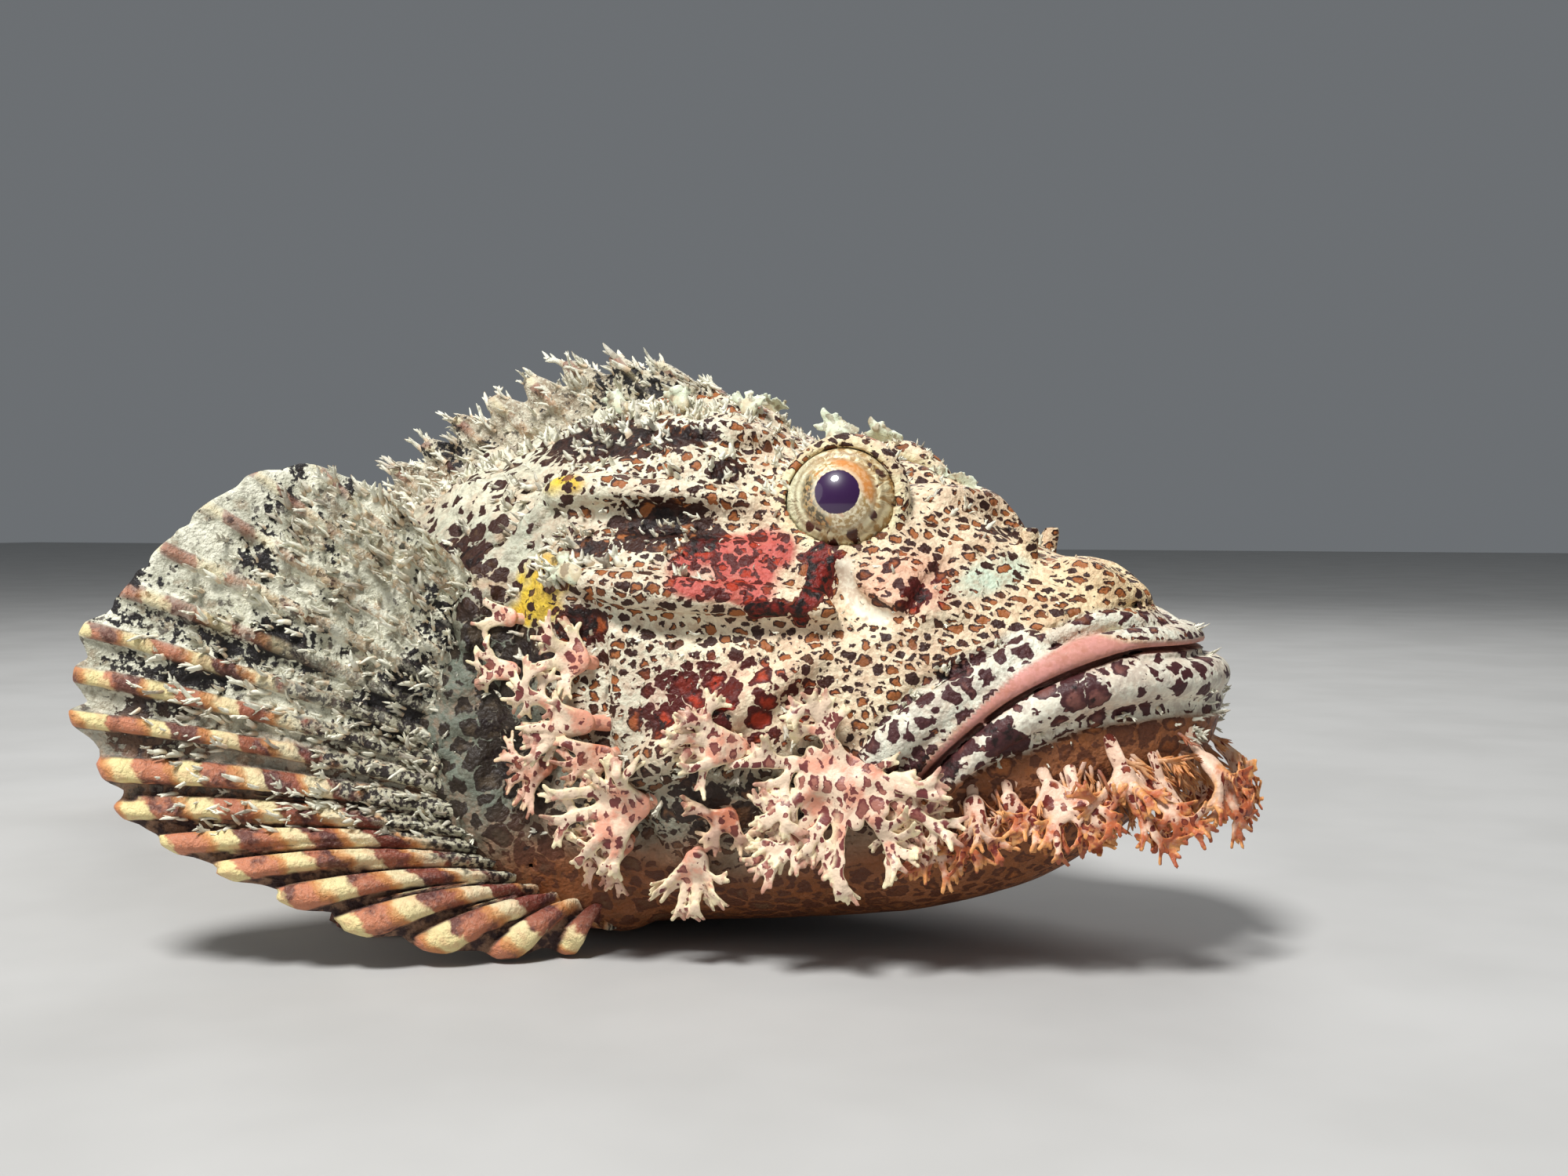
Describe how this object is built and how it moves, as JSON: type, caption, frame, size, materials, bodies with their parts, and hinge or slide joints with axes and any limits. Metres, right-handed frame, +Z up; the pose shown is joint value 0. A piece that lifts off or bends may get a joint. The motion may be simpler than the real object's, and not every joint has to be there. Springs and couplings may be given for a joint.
{
  "type": "scorpionfish",
  "caption": "Still, life-size tasselled scorpionfish lying on its belly and fanned pectoral fins, head raised, mouth shut, tail curled to its left.",
  "frame": {"origin": "on the floor under the middle of the fish's bounding box", "axes": "+X towards the snout, +Z up, and the fish's left side faces +Y"},
  "size_m": [0.26, 0.138, 0.0951],
  "materials": {
    "head_skin": "moist matt skin, cream with dark brown ringed spots",
    "body_skin": "moist matt skin, grey-green and tan mottled with dark brown",
    "fin_skin": "moist matt skin, cream and red-brown bands along the rays",
    "eye": "clear wet gloss over a golden iris and a dark violet pupil"
  },
  "bodies": {
    "root": {"head": "head_skin", "lower_jaw": "head_skin", "gill_cover_left": "head_skin", "gill_cover_right": "head_skin", "torso": "body_skin", "tail_stem": "body_skin", "eye_left": "eye", "eye_right": "eye", "pectoral_fin_left": "fin_skin", "pectoral_fin_right": "fin_skin", "pelvic_fin_left": "fin_skin", "pelvic_fin_right": "fin_skin", "dorsal_fin_spiny": "fin_skin", "dorsal_fin_soft": "fin_skin", "anal_fin": "fin_skin", "caudal_fin": "fin_skin"}
  },
  "joints": []
}
